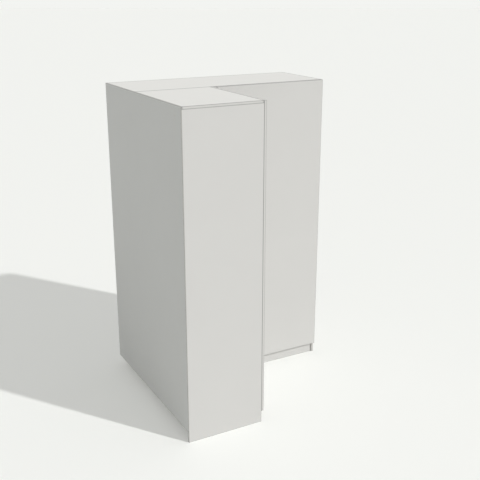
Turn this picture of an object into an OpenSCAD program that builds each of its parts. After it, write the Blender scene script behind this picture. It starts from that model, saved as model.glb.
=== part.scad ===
// Tall L-shaped corner kitchen cabinet, handleless, with one hinged door leaf in each leg.
// Drawn from the front left corner of the end gable: X runs along the rear wall, Y towards it, Z up.
// The finished model is then centred on its own footprint.

/* [Unit] */
// Overall width along the rear wall
unit_w = 1516; // [1450:1:1700]
// Overall depth along the left wall
unit_d = 1326; // [1280:1:1500]
// Overall height from the floor to the top
unit_h = 2280; // [1900:1:2400]
// Depth of the carcass in both legs, back sheet included
carcass_depth = 570; // [540:1:620]
// Height of the plinth space under the bottoms
plinth_h = 80; // [70:1:150]
// Thickness of the carcass boards
board_t = 16; // [15:0.5:19]
// Thickness of the thin back sheets
back_t = 3; // [2.5:0.5:6]

/* [Fronts] */
// Thickness of the door and front boards
front_t = 16; // [16:0.5:22]
// Gap between the carcass and the back of the fronts
front_gap = 2; // [2:0.5:3]
// Width of the fixed filler between the front leg's leaf and the corner
front_filler_w = 135; // [110:1:180]
// Width of the fixed filler between the corner and the back leg's leaf
back_filler_w = 42.5; // [20:0.5:80]
// Overlap of each leaf's free edge over the board behind it
stop_w = 10; // [6:1:20]
// Clear width of the cupboard behind the partition
cupboard_w = 576; // [400:1:700]
// Reveal left round each front
reveal = 1.5; // [1.5:0.5:2.5]
// Clearance between the plinth space and the lower edge of the fronts
front_lift = 4; // [2:1:8]

/* [Uprights and rails] */
// Width of the narrow uprights on the back sheets
upright_w = 100; // [80:1:140]
// Height of the wall fixing rails
rail_h = 100; // [80:1:140]
// Width of the battens under the seam of the tops and bottoms
batten_w = 90; // [70:1:120]
// Radius of the wall screw holes
wall_hole_r = 3.5; // [2.5:0.25:5]
// Distance of each wall screw hole from its rail's end
wall_hole_inset = 80; // [50:1:160]

/* [Shelves] */
// Setback of the shelves behind the inner face of the posts
shelf_setback = 4; // [2:1:6]
// Clearance round each loose shelf
shelf_play = 1; // [0.5:0.25:2]
// Radius of the shelf pins and their holes
pin_r = 2.5; // [2:0.25:3]
// Depth of the shelf pin holes
pin_hole_depth = 11; // [8:0.5:13]
// Length of a shelf pin that carries the shelf
pin_reach = 11; // [9:0.5:14]
// Distance of the pin rows from the board edges
pin_inset = 37; // [30:1:60]
// Step of the pin hole rows
pin_step = 32; // [25:1:64]

/* [Hinges] */
// Outer radius of the hinge cup
cup_r = 17.5; // [15:0.5:20]
// Depth of the hinge cup
cup_depth = 13.1; // [12.8:0.1:13.4]
// Distance from the door's edge to the cup
cup_edge = 3; // [3:0.5:4]
// Radius of the hinge pin
hinge_pin_r = 1; // [0.8:0.1:1.2]
// Distance from the door's edge to the hinge pin
hinge_edge = 6; // [5.9:0.1:6.2]
// Depth of the hinge pin in the door
hinge_in = 10; // [9.8:0.1:10.2]
// Distance of the outer hinges from the door's ends
hinge_end = 110; // [80:1:200]
// Height of the mounting plate over the gable
plate_t = 3.3; // [2.5:0.1:3.5]

/* [Latches and feet] */
// Radius of the latch plunger
plunger_r = 4; // [3:0.5:5]
// Travel of the latch plunger when pressed
plunger_travel = 3; // [2:0.5:5]
// Radius of the foot's disc
foot_r = 30; // [22:1:35]
// Radius of the foot's threaded stem
stem_r = 5; // [4:0.5:8]
// Distance of the rear feet from the back sheets
foot_inset = 147; // [120:1:200]
// Setback of the plinth boards behind the carcass front
plinth_setback = 12; // [5:1:60]

/* [Hidden] */
$fn = 48;
slip = 0.3;                 // clearance between pieces that move past each other
fit = 0.05;                 // clearance round pieces that are pushed into their holes
hinge_count = 5;
level_count = 4;            // shelf levels, the third of them fixed
fixed_level = 3;
floor_gap = 0.3;            // feet hang this far over the floor until they are screwed down

in_h = plinth_h + board_t;              // upper face of the bottoms
top_z = unit_h - board_t;               // lower face of the tops
seam_y = unit_d - carcass_depth;        // carcass front of the back leg and seam of the tops
front_x = carcass_depth;                // carcass front of the front leg
door_x = front_x + front_gap;           // inner face of the front leg's fronts
door_y = seam_y - front_gap;            // inner face of the back leg's fronts
front_z0 = plinth_h + front_lift;
front_z1 = unit_h - reveal;
filler_y1 = door_y - front_t - reveal;
filler_y0 = filler_y1 - front_filler_w;
front_door_w = filler_y0 - 3 * reveal;
back_filler_x1 = door_x + back_filler_w;
back_door_x0 = back_filler_x1 + 2 * reveal;
back_door_w = unit_w - reveal - back_door_x0;
wall_x1 = unit_w - board_t - cupboard_w;   // right face of the partition
wall_x0 = wall_x1 - board_t;
post_y0 = reveal + front_door_w - stop_w;   // front end of the inner post
batten_y0 = seam_y - batten_w / 2;
level_gap = (top_z - in_h) / (level_count + 1);

// Centres the model on its footprint
module placed() translate([-unit_w / 2, -unit_d / 2, 0]) children();

// A board between two opposite corners
module board(low, high) translate(low) cube(high - low);

// Height of the underside of a shelf level, on the pin rows
function shelf_z(level) = in_h + level_gap * level - board_t;

// Rotation that turns +Z to the way a peg points
function turn(way) = way == "+x" ? [0, 90, 0] : way == "-x" ? [0, -90, 0]
    : way == "+y" ? [-90, 0, 0] : [90, 0, 0];

// A round peg that lies across a face at a point, sunk behind it and standing out in front
module peg(at, way, r, sunk, out)
    translate(at) rotate(turn(way)) translate([0, 0, -sunk]) cylinder(r = r, h = sunk + out);

// Pin places of each upright as [x, y, way], on its face
shelf_x0 = back_t + board_t;
post_face = front_x - board_t;
rear_in = unit_d - back_t;
gable_pins = [for (x = [shelf_x0 + pin_inset, post_face - shelf_setback - pin_inset]) [x, board_t, "+y"]];
left_pins = [for (side = [-1, 1]) [shelf_x0, seam_y + side * upright_w / 4, "+x"]];
post_pins = [[post_face, seam_y - pin_inset, "-x"]];
rear_pins = [[shelf_x0, rear_in - upright_w / 2, "+x"]];
deep_rows = [seam_y + board_t + shelf_setback + pin_inset, rear_in - pin_inset];
pin_stagger = 15;               // keeps the partition's two pin rows clear of each other
wall_left_pins = [for (y = deep_rows) [wall_x0, y - pin_stagger, "-x"]];
wall_right_pins = [for (y = deep_rows) [wall_x1, y, "+x"]];
right_pins = [for (y = deep_rows) [unit_w - board_t, y, "-x"]];
loose_levels = [for (level = [1 : level_count]) if (level != fixed_level) level];

// Rows of three pin holes at each loose level
module pin_holes(places)
    for (p = places, level = loose_levels, row = [-1 : 1])
        peg([p[0], p[1], shelf_z(level) - pin_r + row * pin_step], p[2], pin_r, pin_hole_depth, 1);

// Cam places of the fixed shelves and tops as [x, y], near the uprights that they pull against
cam_r = 7.5;
cam_depth = 12.5;
cam_inset = 34;
cam_row = 60;
cam_socket_r = 3;
cam_socket_h = 3;
cam_slot_l = 10;
cam_slot_w = 1.6;
cam_columns = [wall_x0 - cam_inset, wall_x1 + cam_inset, unit_w - board_t - cam_inset];
cam_places = concat(
    [for (x = [shelf_x0 + cam_row, post_face - cam_row]) [x, board_t + cam_inset]],
    [for (y = [deep_rows[0] + cam_row, deep_rows[1] - cam_row], x = cam_columns) [x, y]]);
module cam_bores(z)
    for (p = cam_places) translate([p[0], p[1], z - 1]) cylinder(r = cam_r, h = cam_depth + 1);

// Places the door frame: u from the hinged edge into the leaf, v into its thickness, Z up
module front_side() translate([door_x, reveal, 0]) mirror([1, -1, 0]) children();
module back_side() translate([unit_w - reveal, door_y, 0]) rotate([0, 0, 180]) children();
hinge_step = (front_z1 - front_z0 - 2 * hinge_end) / (hinge_count - 1);
hinge_heights = [for (i = [0 : hinge_count - 1]) front_z0 + hinge_end + i * hinge_step];
module each_hinge() for (z = hinge_heights) translate([0, 0, z]) children();

// Carcass
module end_gable() color("gainsboro") placed() difference() {
    board([back_t, 0, 0], [front_x, board_t, top_z]);
    pin_holes(gable_pins);
}
module right_gable() color("gainsboro") placed() difference() {
    board([unit_w - board_t, seam_y, 0], [unit_w, rear_in, top_z]);
    pin_holes(right_pins);
}
module partition() color("gainsboro") placed() difference() {
    board([wall_x0, seam_y, in_h], [wall_x1, rear_in, top_z]);
    pin_holes(concat(wall_left_pins, wall_right_pins));
}
module top_front() color("gainsboro") placed() difference() {
    board([back_t, 0, top_z], [front_x, seam_y, unit_h]);
    cam_bores(top_z);
}
module top_back() color("gainsboro") placed() difference() {
    board([back_t, seam_y, top_z], [unit_w, rear_in, unit_h]);
    cam_bores(top_z);
}
module bottom_front() color("gainsboro") placed()
    board([back_t, board_t, plinth_h], [front_x, seam_y, in_h]);
module bottom_back() color("gainsboro") placed()
    board([back_t, seam_y, plinth_h], [unit_w - board_t, rear_in, in_h]);

// Uprights that close the inner corner and carry the shelves there
module inner_post() color("gainsboro") placed() difference() {
    board([post_face, post_y0, in_h], [front_x, seam_y, top_z]);
    pin_holes(post_pins);
}
module corner_board() color("gainsboro") placed()
    board([post_face, seam_y, in_h], [back_door_x0 + stop_w, seam_y + board_t, top_z]);
module left_upright() color("gainsboro") placed() difference() {
    board([back_t, seam_y - upright_w / 2, in_h], [shelf_x0, seam_y + upright_w / 2, top_z]);
    pin_holes(left_pins);
}
module rear_upright() color("gainsboro") placed() difference() {
    board([back_t, rear_in - upright_w, in_h], [shelf_x0, rear_in, top_z]);
    pin_holes(rear_pins);
}

// Wall fixing rails, each drilled for two wall screws through rail and back sheet
left_rail = [board_t, seam_y - upright_w / 2];
rear_rail = [shelf_x0, wall_x0];
right_rail = [wall_x1, unit_w - board_t];
rail_mid = top_z - rail_h / 2;
rail_in = rear_in - board_t;
module rail_holes_y(span) for (x = [span[0] + wall_hole_inset, span[1] - wall_hole_inset])
    peg([x, rail_in, rail_mid], "+y", wall_hole_r, 1, board_t + back_t + 2);
module rail_holes_x(span) for (y = [span[0] + wall_hole_inset, span[1] - wall_hole_inset])
    peg([shelf_x0, y, rail_mid], "-x", wall_hole_r, 1, board_t + back_t + 2);
module left_fixing_rail() color("gainsboro") placed() difference() {
    board([back_t, left_rail[0], top_z - rail_h], [shelf_x0, left_rail[1], top_z]);
    rail_holes_x(left_rail);
}
module rear_fixing_rail() color("gainsboro") placed() difference() {
    board([rear_rail[0], rail_in, top_z - rail_h], [rear_rail[1], rear_in, top_z]);
    rail_holes_y(rear_rail);
}
module right_fixing_rail() color("gainsboro") placed() difference() {
    board([right_rail[0], rail_in, top_z - rail_h], [right_rail[1], rear_in, top_z]);
    rail_holes_y(right_rail);
}

// Thin back sheets, drilled on the rails' wall screw holes
module left_back_sheet() color("darkgray") placed() difference() {
    board([0, 0, plinth_h], [back_t, unit_d, unit_h]);
    rail_holes_x(left_rail);
}
module rear_back_sheet() color("darkgray") placed() difference() {
    board([back_t, rear_in, plinth_h], [unit_w, unit_d, unit_h]);
    rail_holes_y(rear_rail);
    rail_holes_y(right_rail);
}

// Battens that join the two tops and the two bottoms under their seam
batten_x0 = foot_inset + foot_r;
block_room = 62;                // room for the angle blocks beside the front plinth
batten_x1 = front_x - plinth_setback - board_t - block_room;
module top_batten() color("gainsboro") placed()
    board([shelf_x0, batten_y0, top_z - board_t], [post_face, batten_y0 + batten_w, top_z]);
module bottom_batten() color("gainsboro") placed()
    board([batten_x0, batten_y0, plinth_h - board_t], [batten_x1, batten_y0 + batten_w, plinth_h]);

// Shelves
module front_shelf(level) color("whitesmoke") placed() {
    play = level == fixed_level ? 0 : shelf_play;
    difference() {
        board([shelf_x0 + play, board_t + play, shelf_z(level)],
            [post_face - shelf_setback, seam_y - play / 2, shelf_z(level) + board_t]);
        if (level == fixed_level) cam_bores(shelf_z(level));
    }
}
module corner_shelf(level) color("whitesmoke") placed() {
    play = level == fixed_level ? 0 : shelf_play;
    difference() {
        board([shelf_x0 + play, seam_y + play / 2, shelf_z(level)],
            [wall_x0 - play, rear_in - play, shelf_z(level) + board_t]);
        board([post_face - shelf_setback, seam_y - 1, shelf_z(level) - 1],
            [wall_x0 + 1, seam_y + board_t + shelf_setback, shelf_z(level) + board_t + 1]);
        if (level == fixed_level) cam_bores(shelf_z(level));
    }
}
module right_shelf(level) color("whitesmoke") placed() {
    play = level == fixed_level ? 0 : shelf_play;
    difference() {
        board([wall_x1 + play, seam_y + board_t + shelf_setback, shelf_z(level)],
            [unit_w - board_t - play, rear_in - play, shelf_z(level) + board_t]);
        if (level == fixed_level) cam_bores(shelf_z(level));
    }
}
all_pins = concat(gable_pins, left_pins, post_pins, rear_pins, wall_left_pins, wall_right_pins, right_pins);
module shelf_pins() color("silver") placed()
    for (p = all_pins, level = loose_levels) {
        z = shelf_z(level) - pin_r;
        peg([p[0], p[1], z], p[2], pin_r - fit, pin_hole_depth - 1, pin_reach);
    }
module cam_fittings() color("silver") placed()
    for (p = cam_places, z = [shelf_z(fixed_level), top_z])
        translate([p[0], p[1], z]) difference() {
            cylinder(r = cam_r - 2 * fit, h = cam_depth - 2 * fit);
            translate([0, 0, -1]) cylinder(r = cam_socket_r, h = cam_socket_h + 1);
            translate([-cam_slot_l / 2, -cam_slot_w / 2, -1])
                cube([cam_slot_l, cam_slot_w, cam_socket_h + 0.5]);
        }

// Fronts
module leaf(w) difference() {
    board([0, 0, front_z0], [w, front_t, front_z1]);
    each_hinge() translate([cup_edge + cup_r, -1, 0])
        rotate([-90, 0, 0]) cylinder(r = cup_r + 2 * fit, h = cup_depth + 2 * fit + 1);
}
module front_door() color("gainsboro") placed() front_side() leaf(front_door_w);
module back_door() color("gainsboro") placed() back_side() leaf(back_door_w);
module front_filler() color("gainsboro") placed()
    board([door_x, filler_y0, front_z0], [door_x + front_t, filler_y1, front_z1]);
module back_filler() color("gainsboro") placed()
    board([door_x, door_y - front_t, front_z0], [back_filler_x1, door_y, front_z1]);
spacer_r = 10;
module front_spacers() color("dimgray") placed()
    for (z = hinge_heights) {
        peg([front_x, (filler_y0 + filler_y1) / 2, z], "+x", spacer_r, 0, front_gap);
        peg([(door_x + back_filler_x1) / 2, seam_y, z], "-y", spacer_r, 0, front_gap);
    }

// Concealed hinges: a cup let into the leaf, its pin, and a cranked arm on a plate on the gable
cup_wall = 0.5;
cup_u = cup_edge + cup_r;       // distance of the cup's middle from the leaf's edge
flange_t = 0.9;
flange_rim = 1.2;
ear_r = 6;
ear_gap = 48;                   // distance between the two screws of a cup
ear_hole_r = 2;
eye_r = 1.9;
eye_w = 7;
arm_w = 12;
arm_t = 2;
arm_reach = 56;                 // how far the arm reaches behind the leaf
arm_hole_r = 3;
arm_hole_in = 12;
adjust_in = 32;                 // place of the adjusting screw's hole
bend_r = 2;
lip_t = 1.2;                    // the arm's channel lips, which reach down beside the plate
lip_end = 4;
gable_u = board_t - reveal;     // face of the gable that the plate is screwed to
arm_u = gable_u + plate_t + 0.2;
plate_l = 40;
plate_w = arm_w - 2 * lip_t - 2 * slip;
wing_t = 2;
wing_w = 13;
wing_l = 50;
wing_in = 6;
wing_v = -arm_reach + wing_in + wing_w / 2;
lip_u = gable_u + wing_t + slip;
arm_end = -arm_reach + arm_w / 2;
bend_v = hinge_in - arm_t / 2 - bend_r;
wing_hole_r = 2.5;
wing_gap = 32;                  // distance between the two screws of a plate
pin_sink = 0.02;                // the pin's ends stay this far inside the cup's outer wall
pin_half = sqrt(pow(cup_r, 2) - pow(cup_u - hinge_edge + hinge_pin_r, 2)) - pin_sink;

// A round bar through the leaf's thickness, from a depth outwards
module across(u, v, z, r, h) translate([u, v, z]) rotate([-90, 0, 0]) cylinder(r = r, h = h);

module hinge_cup() difference() {
    union() {
        across(cup_u, 0, 0, cup_r, cup_depth);
        across(cup_u, -flange_t, 0, cup_r + flange_rim, flange_t);
        translate([cup_u - ear_r, -flange_t, -ear_gap / 2]) cube([2 * ear_r, flange_t, ear_gap]);
        for (side = [-1, 1]) across(cup_u, -flange_t, side * ear_gap / 2, ear_r, flange_t);
    }
    across(cup_u, -flange_t - 1, 0, cup_r - cup_wall, flange_t + 1 + cup_depth - cup_wall);
    translate([hinge_edge, hinge_in, -cup_r]) cylinder(r = hinge_pin_r, h = 2 * cup_r);
    for (side = [-1, 1]) across(cup_u, -flange_t - 1, side * ear_gap / 2, ear_hole_r, flange_t + 2);
}
module hinge_pin() translate([hinge_edge, hinge_in, -pin_half]) cylinder(r = hinge_pin_r, h = 2 * pin_half);
module hinge_arm() difference() {
    union() {
        translate([hinge_edge, hinge_in, -eye_w / 2]) cylinder(r = eye_r, h = eye_w);
        translate([hinge_edge, hinge_in - arm_t / 2, -eye_w / 2])
            cube([arm_u - bend_r - hinge_edge, arm_t, eye_w]);
        arm_bend();
        translate([arm_u, arm_end, -arm_w / 2]) cube([arm_t, bend_v - arm_end, arm_w]);
        translate([arm_u, arm_end, 0]) rotate([0, 90, 0]) cylinder(r = arm_w / 2, h = arm_t);
        for (z = [-arm_w / 2, arm_w / 2 - lip_t]) translate([lip_u, arm_end, z])
            cube([arm_u - lip_u, -lip_end - arm_end, lip_t]);
    }
    translate([hinge_edge, hinge_in, -eye_w]) cylinder(r = hinge_pin_r + fit, h = 2 * eye_w);
    for (v = [-arm_reach + arm_hole_in, -arm_reach + adjust_in]) translate([arm_u - 1, v, 0])
        rotate([0, 90, 0]) cylinder(r = arm_hole_r, h = arm_t + 2);
}

// Quarter bend between the arm's neck in the cup and its channel over the plate
module arm_bend() translate([arm_u - bend_r, bend_v, 0]) intersection() {
    difference() {
        translate([0, 0, -eye_w / 2]) cylinder(r = bend_r + arm_t, h = eye_w);
        translate([0, 0, -eye_w / 2 - 1]) cylinder(r = bend_r, h = eye_w + 2);
    }
    translate([0, 0, -eye_w / 2]) cube([bend_r + arm_t, bend_r + arm_t, eye_w]);
}
module hinge_plate() difference() {
    union() {
        translate([gable_u, -arm_reach, -plate_w / 2]) cube([plate_t, plate_l, plate_w]);
        translate([gable_u, wing_v - wing_w / 2, -wing_l / 2 + wing_w / 2])
            cube([wing_t, wing_w, wing_l - wing_w]);
        for (side = [-1, 1]) translate([gable_u, wing_v, side * (wing_l - wing_w) / 2])
            rotate([0, 90, 0]) cylinder(r = wing_w / 2, h = wing_t);
    }
    for (side = [-1, 1]) translate([gable_u - 1, wing_v, side * wing_gap / 2])
        rotate([0, 90, 0]) cylinder(r = wing_hole_r, h = wing_t + 2);
}
module front_hinge_cups() color("silver") placed() front_side() each_hinge() hinge_cup();
module front_hinge_pins() color("dimgray") placed() front_side() each_hinge() hinge_pin();
module front_hinge_arms() color("silver") placed() front_side() each_hinge() hinge_arm();
module front_hinge_plates() color("silver") placed() front_side() each_hinge() hinge_plate();
module back_hinge_cups() color("silver") placed() back_side() each_hinge() hinge_cup();
module back_hinge_pins() color("dimgray") placed() back_side() each_hinge() hinge_pin();
module back_hinge_arms() color("silver") placed() back_side() each_hinge() hinge_arm();
module back_hinge_plates() color("silver") placed() back_side() each_hinge() hinge_plate();

// Push latches under the tops, near the free edge of each leaf
latch_l = 56;                   // length of the housing
latch_w = 16;
latch_floor = 4;                // thickness of the housing's closed end
latch_back = 6;                 // how far the housing's open end stands behind the leaf
latch_end = 55;                 // distance of each latch from its leaf's free edge
latch_z = top_z - latch_w / 2;
rod_clear = 1;                  // room left behind the fully pressed plunger
head_rim = 1.5;
head_t = 2;
bore_v = -latch_back - latch_l + latch_floor;
rod_v = bore_v + plunger_travel + rod_clear;
module latch_housing(u) difference() {
    translate([u - latch_w / 2, -latch_back - latch_l, top_z - latch_w]) cube([latch_w, latch_l, latch_w]);
    across(u, bore_v, latch_z, plunger_r + slip, latch_l);
}
module latch_plunger(u) {
    across(u, rod_v, latch_z, plunger_r, -slip - rod_v);
    across(u, -slip - head_t, latch_z, plunger_r + head_rim, head_t);
}
module latch_housings() color("white") placed() {
    front_side() latch_housing(front_door_w - latch_end);
    back_side() latch_housing(back_door_w - latch_end);
}
module front_latch_plunger() color("dimgray") placed() front_side() latch_plunger(front_door_w - latch_end);
module back_latch_plunger() color("dimgray") placed() back_side() latch_plunger(back_door_w - latch_end);

// Adjustable feet: a socket under the bottoms and a screwed stem on a disc, clear of the wall sides
socket_h = 34;
socket_r = 17;
socket_plate = 52;
socket_plate_t = 3;
socket_rib = 27;
socket_rib_t = 3;
socket_rib_h = 28;
socket_screw_r = 2.2;
socket_screw_x = 21;
stem_clear = 16;                // room over the stem inside the socket and the bottom
disc_t = 5;
disc_rim = 4;
cone_h = 8;
nut_h = 10;
nut_rim = 5;
foot_clear = 110;               // distance of the inner feet from the plinths' sides of the bottoms
foot_side = 60;                 // distance of the middle feet from the partition
foot_x = wall_x0 - foot_side;
foot_places = [
    [foot_inset, rear_in - foot_inset],
    [foot_inset, seam_y / 2],
    [front_x - foot_clear, seam_y - foot_clear],
    [foot_x, rear_in - foot_inset],
    [foot_x, seam_y + foot_clear]];
module foot_socket() difference() {
    union() {
        translate([-socket_plate / 2, -socket_plate / 2, plinth_h - socket_plate_t])
            cube([socket_plate, socket_plate, socket_plate_t]);
        translate([0, 0, plinth_h - socket_h]) cylinder(r = socket_r, h = socket_h);
        for (a = [45 : 90 : 315]) rotate([0, 0, a])
            translate([0, -socket_rib_t / 2, plinth_h - socket_rib_h])
                cube([socket_rib, socket_rib_t, socket_rib_h]);
    }
    translate([0, 0, plinth_h - socket_h - 1]) cylinder(r = stem_r + slip, h = socket_h - 1);
    for (x = [-socket_screw_x, socket_screw_x])
        translate([x, 0, plinth_h - socket_plate_t - 1])
            cylinder(r = socket_screw_r, h = socket_plate_t + 2);
}
module foot_sockets() color("dimgray") placed()
    for (p = foot_places) translate([p[0], p[1], 0]) foot_socket();
module foot(i) color("dimgray") placed() translate(concat(foot_places[i - 1], floor_gap)) {
    cylinder(r = foot_r, h = disc_t);
    translate([0, 0, disc_t]) cylinder(r1 = foot_r - disc_rim, r2 = stem_r + nut_rim, h = cone_h);
    translate([0, 0, disc_t + cone_h]) cylinder(r = stem_r + nut_rim, h = nut_h, $fn = 12);
    cylinder(r = stem_r, h = plinth_h - stem_clear - floor_gap);
}

// Plinth boards and the angle blocks that hold them to the bottoms
plinth_x = front_x - plinth_setback - board_t;
plinth_y = seam_y + plinth_setback;
module front_plinth() color("gainsboro") placed()
    board([plinth_x, board_t, 0], [plinth_x + board_t, plinth_y, plinth_h]);
module back_plinth() color("gainsboro") placed()
    board([plinth_x, plinth_y, 0], [unit_w - board_t, plinth_y + board_t, plinth_h]);
block_l = 30;
block_w = 24;
block_h = 36;
block_t = 4;
web_t = 3;
web_in = 2;
block_end = 90;                 // distance of each block from the ends of the legs
module angle_block() {
    cube([block_l, block_w, block_t]);
    cube([block_l, block_t, block_h]);
    for (x = [web_in, block_l - web_in - web_t]) translate([x, 0, 0]) rotate([90, 0, 90])
        linear_extrude(web_t) polygon([[0, 0], [block_w, 0], [0, block_h]]);
}
module plinth_blocks() color("dimgray") placed() {
    for (y = [block_end + block_l, seam_y - block_end]) translate([plinth_x, y, plinth_h])
        rotate([0, 180, 90]) angle_block();
    for (x = [front_x + block_end, unit_w - block_end - block_l])
        translate([x, plinth_y + board_t, plinth_h]) mirror([0, 0, 1]) angle_block();
}

end_gable();
right_gable();
partition();
top_front();
top_back();
bottom_front();
bottom_back();
left_back_sheet();
rear_back_sheet();
inner_post();
corner_board();
left_upright();
rear_upright();
left_fixing_rail();
rear_fixing_rail();
right_fixing_rail();
top_batten();
bottom_batten();
front_shelf(1);  // front_shelf_1
front_shelf(2);  // front_shelf_2
front_shelf(3);  // front_shelf_3
front_shelf(4);  // front_shelf_4
corner_shelf(1);  // corner_shelf_1
corner_shelf(2);  // corner_shelf_2
corner_shelf(3);  // corner_shelf_3
corner_shelf(4);  // corner_shelf_4
right_shelf(1);  // right_shelf_1
right_shelf(2);  // right_shelf_2
right_shelf(3);  // right_shelf_3
right_shelf(4);  // right_shelf_4
shelf_pins();
cam_fittings();
front_door();
back_door();
front_filler();
back_filler();
front_spacers();
front_hinge_cups();
front_hinge_pins();
front_hinge_arms();
front_hinge_plates();
back_hinge_cups();
back_hinge_pins();
back_hinge_arms();
back_hinge_plates();
latch_housings();
front_latch_plunger();
back_latch_plunger();
foot_sockets();
foot(1);  // foot_1
foot(2);  // foot_2
foot(3);  // foot_3
foot(4);  // foot_4
foot(5);  // foot_5
front_plinth();
back_plinth();
plinth_blocks();
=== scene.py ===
from math import radians

import bpy
import numpy as np
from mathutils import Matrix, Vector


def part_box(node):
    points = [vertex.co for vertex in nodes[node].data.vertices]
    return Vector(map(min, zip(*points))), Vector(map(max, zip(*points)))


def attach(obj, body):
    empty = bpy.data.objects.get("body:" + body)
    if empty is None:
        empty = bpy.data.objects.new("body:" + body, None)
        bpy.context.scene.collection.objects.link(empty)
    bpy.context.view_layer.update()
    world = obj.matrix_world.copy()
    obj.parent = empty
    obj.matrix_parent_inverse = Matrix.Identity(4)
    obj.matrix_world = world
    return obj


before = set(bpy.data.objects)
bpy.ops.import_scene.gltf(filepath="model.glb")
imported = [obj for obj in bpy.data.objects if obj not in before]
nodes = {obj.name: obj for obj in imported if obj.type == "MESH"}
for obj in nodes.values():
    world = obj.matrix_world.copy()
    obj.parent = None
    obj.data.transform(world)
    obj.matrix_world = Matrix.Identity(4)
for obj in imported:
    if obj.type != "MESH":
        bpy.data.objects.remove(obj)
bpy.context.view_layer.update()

# Camera: it stands in front of the cabinet and to its left, a little over a person's height above the floor, and
# looks down on the tops. Its place, turn and focal length were solved from the edges in the photograph.
IMAGE_SIDE = 480
FOCAL_PIXELS = 771.1
SENSOR = 36.0
CAMERA_PLACE = (-2.6325, -4.8225, 2.9641)
LOOK_DOWN = 18.35
LOOK_RIGHT = 28.636
camera_data = bpy.data.cameras.new("camera")
camera_data.sensor_width = SENSOR
camera_data.lens = SENSOR * FOCAL_PIXELS / IMAGE_SIDE
camera_data.clip_end = 100
camera = bpy.data.objects.new("camera", camera_data)
bpy.context.collection.objects.link(camera)
camera.location = CAMERA_PLACE
camera.rotation_euler = (radians(90 - LOOK_DOWN), 0, -radians(LOOK_RIGHT))
bpy.context.scene.camera = camera

# Tops: two pale boards that lie over the gables and butt on one seam. They are chipboard under a pale melamine
# foil, with a glued edge band on the sides that show and raw chipboard on the rear sides.
MM = 0.001
FOIL_COLOR = (0.617, 0.610, 0.594)
BAND_COLOR = (0.600, 0.592, 0.575)
# The tops' foil is painted lighter than the same foil on the other boards. This is painted light from above, not a
# different finish.
LIT_TOP_COLOR = (0.754, 0.750, 0.726)
# Arris shade: painted shade. A dark colour is mixed in along every edge where two faces meet, as dark lines at
# edges and seams, and it is wider on the tops.
ARRIS_SHADE_COLOR = (0.24, 0.24, 0.235)
ARRIS_SHADE = 0.85
ARRIS_SHADE_WIDTH = (3.4 * MM, 3.4 * MM, 3.4 * MM)
TOP_ARRIS_SHADE_WIDTH = (14 * MM, 14 * MM, 3.4 * MM)
ON_FACE = 0.3 * MM
FOIL_GRAIN = 1100.0
FOIL_ROUGHNESS = (0.42, 0.58)
TOP_ROUGHNESS = (0.68, 0.84)


def add_node(tree, kind, values=None, **settings):
    """A shader node with its settings and the plain values of its sockets."""
    made = tree.nodes.new(kind)
    for key, value in settings.items():
        setattr(made, key, value)
    for key, value in (values or {}).items():
        made.inputs[key].default_value = value
    return made


def new_group(name, inputs, outputs):
    """An empty shader node group with named inputs and outputs, each given as (name, socket kind)."""
    group = bpy.data.node_groups.new(name, "ShaderNodeTree")
    for label, kind in inputs:
        group.interface.new_socket(label, in_out="INPUT", socket_type=kind)
    for label, kind in outputs:
        group.interface.new_socket(label, in_out="OUTPUT", socket_type=kind)
    return group, group.nodes.new("NodeGroupInput"), group.nodes.new("NodeGroupOutput")


def combine(tree, operation, first, second, clamp=False):
    """A Math node's result. Each operand is a socket or a number."""
    node = add_node(tree, "ShaderNodeMath", operation=operation, use_clamp=clamp)
    for socket, value in zip(node.inputs, (first, second)):
        if isinstance(value, bpy.types.NodeSocket):
            tree.links.new(value, socket)
        else:
            socket.default_value = value
    return node.outputs[0]


def mix_colors(tree, factor, first, second):
    """Two colours mixed by a mask. Each colour is a socket or plain."""
    mix = add_node(tree, "ShaderNodeMix", data_type="RGBA")
    tree.links.new(factor, mix.inputs["Factor"])
    for socket, value in ((mix.inputs[6], first), (mix.inputs[7], second)):
        if isinstance(value, bpy.types.NodeSocket):
            tree.links.new(value, socket)
        else:
            socket.default_value = (*value, 1)
    return mix.outputs[2]


def axes_of(tree, vector):
    """The three parts of a vector socket."""
    parts = add_node(tree, "ShaderNodeSeparateXYZ")
    tree.links.new(vector, parts.inputs[0])
    return list(parts.outputs)


def border_distances(group, given):
    """How far a point is along each axis from a box's low corner, from its high corner, and from the nearer one."""
    place = add_node(group, "ShaderNodeTexCoord").outputs["Object"]
    from_low = add_node(group, "ShaderNodeVectorMath", operation="SUBTRACT")
    from_high = add_node(group, "ShaderNodeVectorMath", operation="SUBTRACT")
    nearest = add_node(group, "ShaderNodeVectorMath", operation="MINIMUM")
    for source, target in ((place, from_low.inputs[0]), (given.outputs["Low"], from_low.inputs[1]),
                           (given.outputs["High"], from_high.inputs[0]), (place, from_high.inputs[1]),
                           (from_low.outputs[0], nearest.inputs[0]), (from_high.outputs[0], nearest.inputs[1])):
        group.links.new(source, target)
    return from_low.outputs[0], from_high.outputs[0], nearest.outputs[0]


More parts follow.
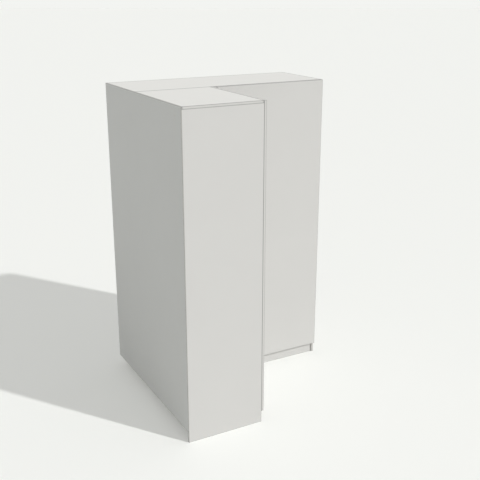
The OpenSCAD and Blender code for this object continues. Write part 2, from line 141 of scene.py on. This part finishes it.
def board_faces_group():
    """Masks of a board from the distances to its borders. Arris sets where painted shade darkens the edges.

    Arris is the sum over the axes of 1 - distance / width, each kept over 0, less 1: it is 0 on the plain faces and
    rises to 1 where two faces meet. Narrow is 1 off the two large faces. Raw is 1 on the chosen narrow faces."""
    vec, num = "NodeSocketVector", "NodeSocketFloat"
    group, given, out = new_group(
        "board_faces",
        [("Low", vec), ("High", vec), ("Thin", vec), ("Raw Low", vec), ("Raw High", vec), ("Width", vec)],
        [("Arris", num), ("Narrow", num), ("Raw", num)])
    link = group.links.new
    from_low, from_high, nearest = border_distances(group, given)
    total = 0.0
    for distance, width in zip(axes_of(group, nearest), axes_of(group, given.outputs["Width"])):
        close = add_node(group, "ShaderNodeMapRange", {"From Min": 0.0, "To Min": 1.0, "To Max": 0.0})
        link(distance, close.inputs["Value"])
        link(width, close.inputs["From Max"])
        total = combine(group, "ADD", total, close.outputs[0])
    link(combine(group, "SUBTRACT", total, 1.0, clamp=True), out.inputs["Arris"])
    across = add_node(group, "ShaderNodeVectorMath", operation="DOT_PRODUCT")
    link(nearest, across.inputs[0])
    link(given.outputs["Thin"], across.inputs[1])
    narrow = combine(group, "GREATER_THAN", across.outputs["Value"], ON_FACE)
    link(narrow, out.inputs["Narrow"])
    raw = 0.0
    for distances, chosen in ((from_low, "Raw Low"), (from_high, "Raw High")):
        for distance, wanted in zip(axes_of(group, distances), axes_of(group, given.outputs[chosen])):
            touch = combine(group, "LESS_THAN", distance, ON_FACE)
            raw = combine(group, "MAXIMUM", raw, combine(group, "MULTIPLY", touch, wanted))
    link(combine(group, "MULTIPLY", raw, narrow), out.inputs["Raw"])
    return group


def foil_group():
    """Melamine foil: a faint cloudiness, a fine pearl grain for the bump, and dust that changes the sheen."""
    num = "NodeSocketFloat"
    group, given, out = new_group("foil", [("Grain", num)], [("Cloud", num), ("Height", num), ("Sheen", num)])
    link = group.links.new
    place = add_node(group, "ShaderNodeTexCoord").outputs["Object"]
    cloud = add_node(group, "ShaderNodeTexNoise", {"Scale": 2.6, "Detail": 4.0, "Roughness": 0.6})
    grain = add_node(group, "ShaderNodeTexNoise", {"Detail": 2.0, "Roughness": 0.55})
    wipe = add_node(group, "ShaderNodeTexNoise",
                    {"Scale": 9.0, "Detail": 6.0, "Roughness": 0.7, "Distortion": 0.6})
    for noise, label in ((cloud, "Cloud"), (grain, "Height"), (wipe, "Sheen")):
        link(place, noise.inputs["Vector"])
        link(noise.outputs["Fac"], out.inputs[label])
    link(given.outputs["Grain"], grain.inputs["Scale"])
    return group


def chipboard_group():
    """Raw chipboard: pressed chips of many shades as cells, with a dusty roughness for the bump."""
    group, _, out = new_group("chipboard", [], [("Color", "NodeSocketColor"), ("Height", "NodeSocketFloat")])
    link = group.links.new
    place = add_node(group, "ShaderNodeTexCoord").outputs["Object"]
    chips = add_node(group, "ShaderNodeTexVoronoi", {"Scale": 620.0})
    dust = add_node(group, "ShaderNodeTexNoise", {"Scale": 900.0, "Detail": 3.0})
    link(place, chips.inputs["Vector"])
    link(place, dust.inputs["Vector"])
    shade = add_node(group, "ShaderNodeSeparateColor")
    link(chips.outputs["Color"], shade.inputs[0])
    ramp = add_node(group, "ShaderNodeValToRGB")
    ramp.color_ramp.elements[0].color = (0.30, 0.20, 0.11, 1)
    ramp.color_ramp.elements[1].color = (0.62, 0.47, 0.30, 1)
    link(shade.outputs[0], ramp.inputs["Fac"])
    link(ramp.outputs["Color"], out.inputs["Color"])
    link(dust.outputs["Fac"], out.inputs["Height"])
    return group


board_faces = board_faces_group()
foil = foil_group()
chipboard = chipboard_group()


def axis_mask(letters):
    """1 for each axis that is named in the letters, and 0 for the others."""
    return [float(axis in letters) for axis in "xyz"]


def board_material(name, thin, raw_low="", raw_high="", color=FOIL_COLOR, band=BAND_COLOR, grain=FOIL_GRAIN,
                   roughness=FOIL_ROUGHNESS, width=ARRIS_SHADE_WIDTH):
    """Foiled board: a face colour, a glued band on the narrow faces, arrises darkened as painted shade, and raw
    chipboard on the low and high narrow faces of the named axes. The thin axis is the one across the board."""
    material = bpy.data.materials.new(f"{name}_foil")
    material.use_nodes = True
    tree = material.node_tree
    link = tree.links.new
    shader = tree.nodes["Principled BSDF"]
    low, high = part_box(name)
    masks = add_node(tree, "ShaderNodeGroup",
                     {"Low": low, "High": high, "Thin": axis_mask(thin), "Raw Low": axis_mask(raw_low),
                      "Raw High": axis_mask(raw_high), "Width": width}, node_tree=board_faces)
    surface = add_node(tree, "ShaderNodeGroup", {"Grain": grain}, node_tree=foil)
    chips = add_node(tree, "ShaderNodeGroup", node_tree=chipboard)
    lighter = [part * 1.015 for part in color]
    darker = [part * 0.985 for part in color]
    face = mix_colors(tree, surface.outputs["Cloud"], darker, lighter)
    banded = mix_colors(tree, masks.outputs["Narrow"], face, band)
    with_core = mix_colors(tree, masks.outputs["Raw"], banded, chips.outputs["Color"])
    # Painted shade: the arrises are darkened towards the arris colour along every edge, and along the seam on the
    # tops.
    edge_shade = combine(tree, "MULTIPLY", masks.outputs["Arris"], ARRIS_SHADE)
    link(mix_colors(tree, edge_shade, with_core, ARRIS_SHADE_COLOR), shader.inputs["Base Color"])
    sheen = add_node(tree, "ShaderNodeMapRange", {"To Min": roughness[0], "To Max": roughness[1]})
    link(surface.outputs["Sheen"], sheen.inputs["Value"])
    link(sheen.outputs[0], shader.inputs["Roughness"])
    height = add_node(tree, "ShaderNodeMix", data_type="FLOAT")
    link(masks.outputs["Raw"], height.inputs["Factor"])
    link(surface.outputs["Height"], height.inputs[2])
    link(chips.outputs["Height"], height.inputs[3])
    bump = add_node(tree, "ShaderNodeBump", {"Strength": 0.12, "Distance": 0.2 * MM})
    link(height.outputs[0], bump.inputs["Height"])
    link(bump.outputs["Normal"], shader.inputs["Normal"])
    shader.inputs["Specular IOR Level"].default_value = 0.35
    return material


def finish_node(name, material):
    """Gives a frame node its one material."""
    mesh = nodes[name].data
    mesh.materials.clear()
    mesh.materials.append(material)


# The tops take the lighter colour as painted light from above, and a wider painted arris shade.
for name in ("top_front", "top_back"):
    finish_node(name, board_material(name, "z", "x", "y", color=LIT_TOP_COLOR, roughness=TOP_ROUGHNESS,
                                     width=TOP_ARRIS_SHADE_WIDTH))

# Gables and uprights: upright foiled boards. The gables stand on the floor and carry the tops, and the partition,
# post and uprights stand on the bottoms. Hidden ends and the sides to the wall are raw, and the rest is banded.
for name, thin, raw_low, raw_high in (
        ("end_gable", "y", "", "z"), ("inner_post", "x", "z", "z"), ("corner_board", "y", "z", "z"),
        ("right_gable", "x", "z", "yz"), ("partition", "x", "z", "yz"), ("left_upright", "x", "z", "yz"),
        ("rear_upright", "x", "z", "yz")):
    finish_node(name, board_material(name, thin, raw_low, raw_high))

# Bottoms, rails and battens: boards of the same foiled chipboard between the uprights. The rails take the wall
# screws, and the battens lie under the two seams and hold the boards on both sides of them.
for name, thin, raw_low, raw_high in (
        ("bottom_front", "z", "x", "y"), ("bottom_back", "z", "x", "y"), ("left_fixing_rail", "x", "", "z"),
        ("rear_fixing_rail", "y", "", "z"), ("right_fixing_rail", "y", "", "z"), ("top_batten", "z", "", "y"),
        ("bottom_batten", "z", "", "y")):
    finish_node(name, board_material(name, thin, raw_low, raw_high))

# Back sheets: thin fibreboard, painted pale, held by rows of panel pins in the rear edges of the boards. The side
# to the wall is a touch greyer than the foil, and the narrow faces show the fibre.
SHEET_COLOR = (0.600, 0.605, 0.592)
FIBRE_COLOR = (0.60, 0.56, 0.50)
SHEET_GRAIN = 420.0
SHEET_ROUGHNESS = (0.5, 0.66)
PIN_COLOR = (0.30, 0.30, 0.29)
PIN_INSET = 8 * MM
PIN_HALF_STEP = 75 * MM
PIN_RADIUS = 1.6 * MM


def panel_pins_group():
    """Heads of panel pins as dots, in one row along each border of a sheet.

    A point's two offsets from the nearest head are its distance from the border less the inset, and a triangle wave
    of its distance along the border. It lies in the head where the length of the two is under the radius."""
    vec, num = "NodeSocketVector", "NodeSocketFloat"
    group, given, out = new_group("panel_pins", [("Low", vec), ("High", vec)],
                                  [("Wide in x", num), ("Wide in y", num)])
    link = group.links.new
    from_low, _, nearest = border_distances(group, given)
    off_row = [combine(group, "SUBTRACT", distance, PIN_INSET) for distance in axes_of(group, nearest)]
    off_head = [combine(group, "PINGPONG", distance, PIN_HALF_STEP) for distance in axes_of(group, from_low)]
    for label, wide in (("Wide in x", 0), ("Wide in y", 1)):
        lengths = []
        for row, run in ((wide, 2), (2, wide)):
            offset = add_node(group, "ShaderNodeCombineXYZ")
            link(off_row[row], offset.inputs[0])
            link(off_head[run], offset.inputs[1])
            length = add_node(group, "ShaderNodeVectorMath", operation="LENGTH")
            link(offset.outputs[0], length.inputs[0])
            lengths.append(length.outputs["Value"])
        least = combine(group, "MINIMUM", *lengths)
        link(combine(group, "LESS_THAN", least, PIN_RADIUS), out.inputs[label])
    return group


panel_pins = panel_pins_group()
for name, thin, wide in (("left_back_sheet", "x", "Wide in y"), ("rear_back_sheet", "y", "Wide in x")):
    sheet = board_material(name, thin, color=SHEET_COLOR, band=FIBRE_COLOR, grain=SHEET_GRAIN,
                           roughness=SHEET_ROUGHNESS)
    tree = sheet.node_tree
    shader = tree.nodes["Principled BSDF"]
    low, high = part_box(name)
    heads = add_node(tree, "ShaderNodeGroup", {"Low": low, "High": high}, node_tree=panel_pins)
    bare = shader.inputs["Base Color"].links[0].from_socket
    tree.links.new(mix_colors(tree, heads.outputs[wide], bare, PIN_COLOR), shader.inputs["Base Color"])
    tree.links.new(heads.outputs[wide], shader.inputs["Metallic"])
    finish_node(name, sheet)

# Fronts: two door leaves and two fillers in a silk-matt foil, banded on all four sides. Each leaf hangs on five cup
# hinges, and the fillers are screwed to the post and the corner board through short spacers.
FRONT_GRAIN = 1500.0
FRONT_ROUGHNESS = (0.36, 0.48)
for name, thin in (("front_door", "x"), ("front_filler", "x"), ("back_door", "y"), ("back_filler", "y")):
    finish_node(name, board_material(name, thin, grain=FRONT_GRAIN, roughness=FRONT_ROUGHNESS))

# Shelves: foiled boards with a band on the front side only. Three levels lie loose on pins, and one is pulled to
# the uprights with cams.
for leg, raw_high in (("front", "y"), ("corner", "xy"), ("right", "y")):
    for level in range(1, 5):
        name = f"{leg}_shelf_{level}"
        finish_node(name, board_material(name, "z", raw_high=raw_high))

# Plinth boards: foiled boards that close the space under the bottoms. Their upper and lower sides are cut raw, and
# angle blocks hold them from behind.
for name, thin in (("front_plinth", "x"), ("back_plinth", "y")):
    finish_node(name, board_material(name, thin, "z", "z"))

# Metal fittings: hinge cups, pins, arms and plates, shelf pins and cams, pressed or cast and then plated. The
# plating keeps fine drawing marks and dulls in patches where hands and screwdrivers touch it.
NICKEL = (0.66, 0.655, 0.64)
ZINC = (0.60, 0.61, 0.62)
UPRIGHT_MARKS = (1.0, 1.0, 0.08)
LEVEL_MARKS = (0.1, 1.0, 1.0)
BRIGHT_ROUGHNESS = 0.24
DULL_ROUGHNESS = 0.46


def plating_group():
    """Plating: drawing marks, drawn out along an axis whose part of Marks is under 1, and cloudy dull patches."""
    num = "NodeSocketFloat"
    group, given, out = new_group("plating", [("Marks", "NodeSocketVector")], [("Patches", num), ("Height", num)])
    link = group.links.new
    place = add_node(group, "ShaderNodeTexCoord").outputs["Object"]
    stretch = add_node(group, "ShaderNodeMapping")
    lines = add_node(group, "ShaderNodeTexNoise", {"Scale": 300.0, "Detail": 3.0})
    patches = add_node(group, "ShaderNodeTexNoise", {"Scale": 60.0, "Detail": 4.0})
    link(place, stretch.inputs["Vector"])
    link(given.outputs["Marks"], stretch.inputs["Scale"])
    link(stretch.outputs[0], lines.inputs["Vector"])
    link(place, patches.inputs["Vector"])
    link(patches.outputs["Fac"], out.inputs["Patches"])
    link(lines.outputs["Fac"], out.inputs["Height"])
    return group


plating = plating_group()


def plated_steel(name, marks, tint):
    """Plated steel in one tint, duller and a little darker in patches."""
    material = bpy.data.materials.new(name)
    material.use_nodes = True
    tree = material.node_tree
    link = tree.links.new
    shader = tree.nodes["Principled BSDF"]
    surface = add_node(tree, "ShaderNodeGroup", {"Marks": marks}, node_tree=plating)
    dull = add_node(tree, "ShaderNodeMapRange", {"To Min": BRIGHT_ROUGHNESS, "To Max": DULL_ROUGHNESS})
    link(surface.outputs["Patches"], dull.inputs["Value"])
    link(dull.outputs[0], shader.inputs["Roughness"])
    darker = [part * 0.9 for part in tint]
    link(mix_colors(tree, surface.outputs["Patches"], darker, tint), shader.inputs["Base Color"])
    bump = add_node(tree, "ShaderNodeBump", {"Strength": 0.15, "Distance": 0.1 * MM})
    link(surface.outputs["Height"], bump.inputs["Height"])
    link(bump.outputs["Normal"], shader.inputs["Normal"])
    shader.inputs["Metallic"].default_value = 1.0
    return material


hinge_steel = plated_steel("nickel_plate", UPRIGHT_MARKS, NICKEL)
pin_steel = plated_steel("zinc_pins", LEVEL_MARKS, ZINC)
for name in nodes:
    if "hinge" in name:
        finish_node(name, hinge_steel)
for name in ("shelf_pins", "cam_fittings"):
    finish_node(name, pin_steel)

# Plastic fittings: feet, sockets, angle blocks, spacers and latches, moulded with a fine spark-eroded grain that
# catches pale dust in clouds.
BLACK = (0.022, 0.022, 0.024)
DUSTY_BLACK = (0.07, 0.07, 0.068)
PALE = (0.70, 0.70, 0.68)
DUSTY_PALE = (0.78, 0.77, 0.75)
BLACK_ROUGHNESS = 0.5
PALE_ROUGHNESS = 0.42


def moulded_grain_group():
    """Moulded grain: a fine even noise for the bump, and broad clouds for colour and sheen."""
    num = "NodeSocketFloat"
    group, _, out = new_group("moulded_grain", [], [("Cloud", num), ("Height", num)])
    place = add_node(group, "ShaderNodeTexCoord").outputs["Object"]
    grain = add_node(group, "ShaderNodeTexNoise", {"Scale": 2400.0, "Detail": 2.0})
    cloud = add_node(group, "ShaderNodeTexNoise", {"Scale": 40.0, "Detail": 5.0})
    for noise, label in ((grain, "Height"), (cloud, "Cloud")):
        group.links.new(place, noise.inputs["Vector"])
        group.links.new(noise.outputs["Fac"], out.inputs[label])
    return group


moulded_grain = moulded_grain_group()


def moulded_plastic(name, color, dusty, roughness):
    """Moulded plastic with a fine grain. Its colour drifts towards a dusty one in clouds."""
    material = bpy.data.materials.new(name)
    material.use_nodes = True
    tree = material.node_tree
    link = tree.links.new
    shader = tree.nodes["Principled BSDF"]
    surface = add_node(tree, "ShaderNodeGroup", node_tree=moulded_grain)
    link(mix_colors(tree, surface.outputs["Cloud"], color, dusty), shader.inputs["Base Color"])
    sheen = add_node(tree, "ShaderNodeMapRange", {"To Min": roughness - 0.08, "To Max": roughness + 0.12})
    link(surface.outputs["Cloud"], sheen.inputs["Value"])
    link(sheen.outputs[0], shader.inputs["Roughness"])
    bump = add_node(tree, "ShaderNodeBump", {"Strength": 0.2, "Distance": 0.1 * MM})
    link(surface.outputs["Height"], bump.inputs["Height"])
    link(bump.outputs["Normal"], shader.inputs["Normal"])
    return material


FEET = [f"foot_{number}" for number in range(1, 6)]
black_plastic = moulded_plastic("black_plastic", BLACK, DUSTY_BLACK, BLACK_ROUGHNESS)
pale_plastic = moulded_plastic("pale_plastic", PALE, DUSTY_PALE, PALE_ROUGHNESS)
for name in ("foot_sockets", "plinth_blocks", "front_spacers", "front_latch_plunger", "back_latch_plunger", *FEET):
    finish_node(name, black_plastic)
finish_node("latch_housings", pale_plastic)

# Screws: countersunk zinc-plated steel with a cross recess. They hold the hinge cups to the leaves, the plates and
# arms to the gables, the sockets under the bottoms, and the fillers to their boards.
SCREW_ZINC = (0.62, 0.62, 0.60)
HINGES = 5
PLATE_HALF = 25 * MM
CUP_SCREW_REACH = 24 * MM
PLATE_SCREW_REACH = 16 * MM
PLATE_SCREW_INSET = 12.5 * MM
PLATE_THICK = 2 * MM
ARM_SCREW_REACHES = (12 * MM, 32 * MM)
SOCKET_SCREW_REACH = 21 * MM
SOCKET_PLATE = 3 * MM
FACINGS = {"-x": ((0, 0, 1), (0, 1, 0), (-1, 0, 0)), "+y": ((0, 0, 1), (1, 0, 0), (0, 1, 0)),
           "-z": ((0, 1, 0), (1, 0, 0), (0, 0, -1))}
EVEN_MARKS = (1.0, 1.0, 1.0)
zinc_screws = plated_steel("zinc_screws", EVEN_MARKS, SCREW_ZINC)


def polar_faces(rings, spokes):
    """Faces of a disc whose points are its centre and then ring after ring: a fan of triangles, and quads."""
    spoke = np.arange(spokes)
    after = (spoke + 1) % spokes
    fan = np.stack([np.zeros_like(spoke), 1 + spoke, 1 + after], axis=-1)
    start = 1 + spokes * np.arange(rings - 1)[:, None]
    quads = np.stack([start + spoke, start + spokes + spoke, start + spokes + after, start + after], axis=-1)
    return fan, quads.reshape(-1, 4)


def screw_head(radius, rise, rings=9, spokes=40):
    """A slightly domed round head with a cross cut in it, on a polar grid, facing +Z.

    Height = rise * (1 - (r / radius)^2) - depth * cut, where cut is 1 in the cross and falls to 0 over the slopes
    at its sides and tips. The sizes of its two arms are shares of the radius. The rim turns down."""
    depth, rim = 0.35 * radius, 0.3 * MM
    arm_half, arm_slope, arm_reach, tip_slope = 0.13, 0.04, 0.65, 0.10
    reach = radius * np.arange(1, rings + 1)[:, None] / rings
    angle = 2 * np.pi * np.arange(spokes) / spokes
    x, y = reach * np.cos(angle), reach * np.sin(angle)
    thin, long = np.minimum(abs(x), abs(y)), np.maximum(abs(x), abs(y))
    narrow = np.clip((arm_half - thin / radius) / arm_slope + 1, 0, 1)
    short = np.clip((arm_reach - long / radius) / tip_slope, 0, 1)
    height = rise * (1 - (reach / radius) ** 2) - depth * narrow * short
    height[-1] = -rim
    points = np.stack([x, y, height], axis=-1).reshape(-1, 3)
    return np.vstack([(0, 0, -depth), points]), polar_faces(rings, spokes)


def add_piece(name, points, faces, body, material, smooth):
    """One new piece from points and faces. It rides on a body."""
    mesh = bpy.data.meshes.new(name)
    mesh.from_pydata(points.tolist(), [], faces)
    mesh.polygons.foreach_set("use_smooth", [smooth] * len(mesh.polygons))
    mesh.materials.append(material)
    piece = bpy.data.objects.new(name, mesh)
    bpy.context.collection.objects.link(piece)
    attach(piece, body)


def set_pieces(name, shape, places, body, material):
    """One piece made of a copy of the shape at each place, which is a point and a facing."""
    base, face_parts = shape
    turns = np.array([FACINGS[facing] for _, facing in places], float)
    points = np.einsum("vi,pij->pvj", base, turns) + np.array([point for point, _ in places])[:, None]
    first = len(base) * np.arange(len(places))[:, None, None]
    faces = []
    for part in face_parts:
        faces += (part + first).reshape(-1, part.shape[1]).tolist()
    add_piece(name, points.reshape(-1, 3), faces, body, material, True)


def middle(name, axis):
    """Middle of a node's box along an axis."""
    low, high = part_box(name)
    return (low[axis] + high[axis]) / 2


plate_low, plate_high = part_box("front_hinge_plates")
back_plate_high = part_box("back_hinge_plates")[1]
front_cup_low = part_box("front_hinge_cups")[0]
back_cup_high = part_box("back_hinge_cups")[1]
front_arm_low, front_arm_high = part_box("front_hinge_arms")
back_arm_low, back_arm_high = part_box("back_hinge_arms")
front_cup_places, back_cup_places, plate_places, arm_places, filler_places = [], [], [], [], []
for height in np.linspace(plate_low[2] + PLATE_HALF, plate_high[2] - PLATE_HALF, HINGES):
    for side in (-1, 1):
        up = height + side * CUP_SCREW_REACH
        front_cup_places.append(((front_cup_low[0], middle("front_hinge_cups", 1), up), "-x"))
        back_cup_places.append(((middle("back_hinge_cups", 0), back_cup_high[1], up), "+y"))
        up = height + side * PLATE_SCREW_REACH
        plate_places.append(((plate_low[0] + PLATE_SCREW_INSET, plate_low[1] + PLATE_THICK, up), "+y"))
        plate_places.append(((back_plate_high[0] - PLATE_THICK, back_plate_high[1] - PLATE_SCREW_INSET, up), "-x"))
    for reach in ARM_SCREW_REACHES:
        arm_places.append(((front_arm_low[0] + reach, front_arm_high[1], height), "+y"))
        arm_places.append(((back_arm_low[0], back_arm_high[1] - reach, height), "-x"))
    filler_places.append(((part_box("inner_post")[0][0], middle("front_filler", 1), height), "-x"))
    filler_places.append(((middle("back_filler", 0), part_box("corner_board")[1][1], height), "+y"))
socket_places = [((middle(foot, 0) + side * SOCKET_SCREW_REACH, middle(foot, 1),
                   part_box("foot_sockets")[1][2] - SOCKET_PLATE), "-z") for foot in FEET for side in (-1, 1)]
for name, radius, rise, places, body in (
        ("front_cup_screws", 3.2 * MM, 0.5 * MM, front_cup_places, "front_leaf"),
        ("back_cup_screws", 3.2 * MM, 0.5 * MM, back_cup_places, "back_leaf"),
        ("hinge_plate_screws", 3.6 * MM, 0.5 * MM, plate_places, "carcass"),
        ("hinge_arm_screws", 4.0 * MM, 0.9 * MM, arm_places, "carcass"),
        ("socket_screws", 3.6 * MM, 0.5 * MM, socket_places, "carcass"),
        ("fixed_front_screws", 4.2 * MM, 0.5 * MM, filler_places, "carcass")):
    set_pieces(name, screw_head(radius, rise), places, body, zinc_screws)

# Bumpers: soft clear domes glued to the inner face of each leaf near its free edge, which meet the board behind it
# when the leaf is pushed shut.
GEL = (0.56, 0.57, 0.57)
DUSTY_GEL = (0.66, 0.66, 0.65)
GEL_ROUGHNESS = 0.22
BUMPER_RADIUS = 3.5 * MM
BUMPER_RISE = 1.4 * MM
BUMPER_INSET = 5 * MM
BUMPER_FROM_FOOT = 30 * MM
BUMPER_FROM_TOP = 60 * MM


def dome(radius, rise, rings=8, spokes=32):
    """A flat round dome on a polar grid, facing +Z: height = rise * sqrt(1 - (r / radius)^2)."""
    lean = np.pi / 2 * np.arange(1, rings + 1)[:, None] / rings
    angle = 2 * np.pi * np.arange(spokes) / spokes
    reach = radius * np.sin(lean)
    height = np.broadcast_to(rise * np.cos(lean), (rings, spokes))
    points = np.stack([reach * np.cos(angle), reach * np.sin(angle), height], axis=-1).reshape(-1, 3)
    return np.vstack([(0, 0, rise), points]), polar_faces(rings, spokes)


bumper_gel = moulded_plastic("bumper_gel", GEL, DUSTY_GEL, GEL_ROUGHNESS)
front_leaf_low, front_leaf_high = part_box("front_door")
back_leaf_low, back_leaf_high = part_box("back_door")
heights = (front_leaf_low[2] + BUMPER_FROM_FOOT, front_leaf_high[2] - BUMPER_FROM_TOP)
for name, x, y, facing, body in (
        ("front_bumpers", front_leaf_low[0], front_leaf_high[1] - BUMPER_INSET, "-x", "front_leaf"),
        ("back_bumpers", back_leaf_low[0] + BUMPER_INSET, back_leaf_high[1], "+y", "back_leaf")):
    set_pieces(name, dome(BUMPER_RADIUS, BUMPER_RISE), [((x, y, height), facing) for height in heights], body,
               bumper_gel)

# Foot threads: the coarse moulded thread on each foot's stem, between its collar and the socket above it. It moves
# with the foot and is of the same black plastic.
STEM_RADIUS = 5 * MM
THREAD_DEPTH = 0.25 * MM
THREAD_PITCH = 2.2 * MM
THREAD_START = 24 * MM
THREAD_LENGTH = 19 * MM


def thread(radius, depth, pitch, length, turn_points=40):
    """A ridge with two flanks carried along a helix: at angle a, its crest stands at radius + depth and pitch *
    a / 2 pi, and its feet lie just under the stem's surface, 0.42 pitch below and above the crest."""
    sunk, half_width = 0.2 * MM, 0.42 * pitch
    count = int(length / pitch * turn_points)
    angle = 2 * np.pi * np.arange(count) / turn_points
    reach = radius + np.array([-sunk, depth, -sunk])[:, None]
    shift = np.array([-half_width, 0, half_width])[:, None]
    points = np.stack([reach * np.cos(angle), reach * np.sin(angle), pitch * angle / (2 * np.pi) + shift], axis=-1)
    first = np.arange(count - 1) + count * np.arange(2)[:, None]
    faces = np.stack([first, first + 1, first + count + 1, first + count], axis=-1)
    return points.reshape(-1, 3), faces.reshape(-1, 4).tolist()


for number, foot in enumerate(FEET, 1):
    ridge, ridge_faces = thread(STEM_RADIUS, THREAD_DEPTH, THREAD_PITCH, THREAD_LENGTH)
    start = (middle(foot, 0), middle(foot, 1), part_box(foot)[0][2] + THREAD_START)
    add_piece(f"{foot}_thread", ridge + start, ridge_faces, f"foot_screw_{number}", black_plastic,
              False)

# Floor: one wide pale sheet, matt and plain. The camera sees a pale ground without a horizon, and the cabinet
# keeps its shadow on it.
FLOOR_HALF = 200.0
FLOOR_COLOR = (0.895, 0.903, 0.880, 1)
ground = bpy.data.materials.new("pale_ground")
ground.use_nodes = True
shader = ground.node_tree.nodes["Principled BSDF"]
shader.inputs["Roughness"].default_value = 0.9
shader.inputs["Base Color"].default_value = FLOOR_COLOR
shader.inputs["Specular IOR Level"].default_value = 0.1
floor_mesh = bpy.data.meshes.new("floor")
floor_mesh.from_pydata([(x * FLOOR_HALF, y * FLOOR_HALF, 0) for x, y in ((-1, -1), (1, -1), (1, 1), (-1, 1))], [],
                       [(0, 1, 2, 3)])
floor_mesh.materials.append(ground)
floor = bpy.data.objects.new("floor", floor_mesh)
bpy.context.collection.objects.link(floor)

# Light: one high lamp from the front right throws the shadow back to the left, as in the photograph. Weaker fills
# from overhead and from two sides cast no shadow, and a pale sky that is brighter overhead does the rest.
SUN_STRENGTH = 1.79
SUN_ELEVATION = 36.0
SHADOW_HEADING = (-0.582, 0.813)
OVERHEAD_FILL = 0.59
SIDE_FILL = 0.26
FILL_HEADING = 52.0
SKY_LOW = 0.14
SKY_HIGH = 0.63
SKY_COLOR = (1.0, 1.0, 0.985, 1)
BACKDROP_COLOR = (0.896, 0.905, 0.879, 1)


def add_lamp(name, strength, elevation, heading, shadow):
    """A far lamp at an elevation in degrees, whose light travels along a heading in radians from +X."""
    lamp_data = bpy.data.lights.new(name, "SUN")
    lamp_data.energy = strength
    lamp_data.angle = radians(1.5)
    lamp_data.use_shadow = shadow
    lamp = bpy.data.objects.new(name, lamp_data)
    bpy.context.collection.objects.link(lamp)
    lamp.rotation_euler = (radians(90 - elevation), 0, heading - radians(90))


add_lamp("sun", SUN_STRENGTH, SUN_ELEVATION, np.arctan2(SHADOW_HEADING[1], SHADOW_HEADING[0]), True)
add_lamp("overhead_fill", OVERHEAD_FILL, 90, 0, False)
add_lamp("near_fill", SIDE_FILL, 0, radians(FILL_HEADING), False)
add_lamp("far_fill", SIDE_FILL, 0, radians(FILL_HEADING + 180), False)
world = bpy.data.worlds.new("sky")
world.use_nodes = True
sky = world.node_tree
link = sky.links.new
background = sky.nodes["Background"]
background.inputs["Color"].default_value = SKY_COLOR
rise = add_node(sky, "ShaderNodeMapRange", {"To Min": SKY_LOW, "To Max": SKY_HIGH})
link(axes_of(sky, add_node(sky, "ShaderNodeTexCoord").outputs["Generated"])[2], rise.inputs["Value"])
link(rise.outputs[0], background.inputs["Strength"])
backdrop = add_node(sky, "ShaderNodeBackground", {"Color": BACKDROP_COLOR, "Strength": 1.0})
paths = add_node(sky, "ShaderNodeLightPath")
seen = combine(sky, "MAXIMUM", paths.outputs["Is Camera Ray"], paths.outputs["Is Glossy Ray"])
either = add_node(sky, "ShaderNodeMixShader")
link(seen, either.inputs[0])
link(background.outputs[0], either.inputs[1])
link(backdrop.outputs[0], either.inputs[2])
link(either.outputs[0], sky.nodes["World Output"].inputs["Surface"])
bpy.context.scene.world = world
bpy.context.scene.view_settings.view_transform = "Standard"
